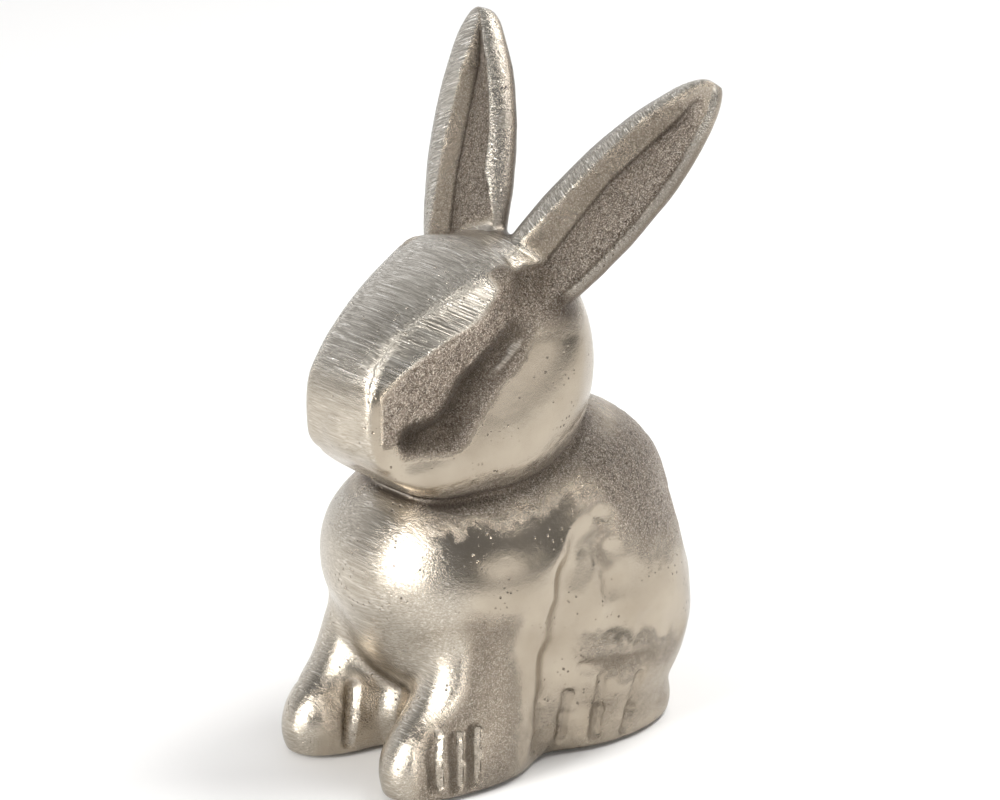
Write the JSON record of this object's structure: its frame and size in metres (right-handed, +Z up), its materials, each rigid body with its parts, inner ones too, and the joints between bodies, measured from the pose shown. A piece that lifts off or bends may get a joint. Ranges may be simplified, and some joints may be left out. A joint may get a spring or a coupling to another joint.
{
  "type": "rabbit ornament",
  "caption": "Sitting rabbit ornament in cast metal with upright splayed ears, closed base and felt feet.",
  "frame": {"origin": "centre of the figure's bounding box, on the plane that the felt pads rest on", "axes": "+Z up, the rabbit faces -Y, its left side is +X"},
  "size_m": [0.1088, 0.1343, 0.2097],
  "materials": {
    "cast_nickel": "raw nickel over sand-cast aluminium, belt ground and part polished",
    "weld_nickel": "weld bead ground flush and plated with the castings",
    "base_plate": "rolled sheet, satin",
    "screws": "zinc plated",
    "felt": "pressed felt"
  },
  "bodies": {
    "root": {"left_body_casting": "cast_nickel", "right_body_casting": "cast_nickel", "left_ear_casting": "cast_nickel", "right_ear_casting": "cast_nickel", "seam_weld": "weld_nickel", "left_ear_weld": "weld_nickel", "right_ear_weld": "weld_nickel", "base_plate": "base_plate", "base_plate_screws": "screws", "front_left_pad": "felt", "front_right_pad": "felt", "rear_left_pad": "felt", "rear_right_pad": "felt"}
  },
  "joints": []
}
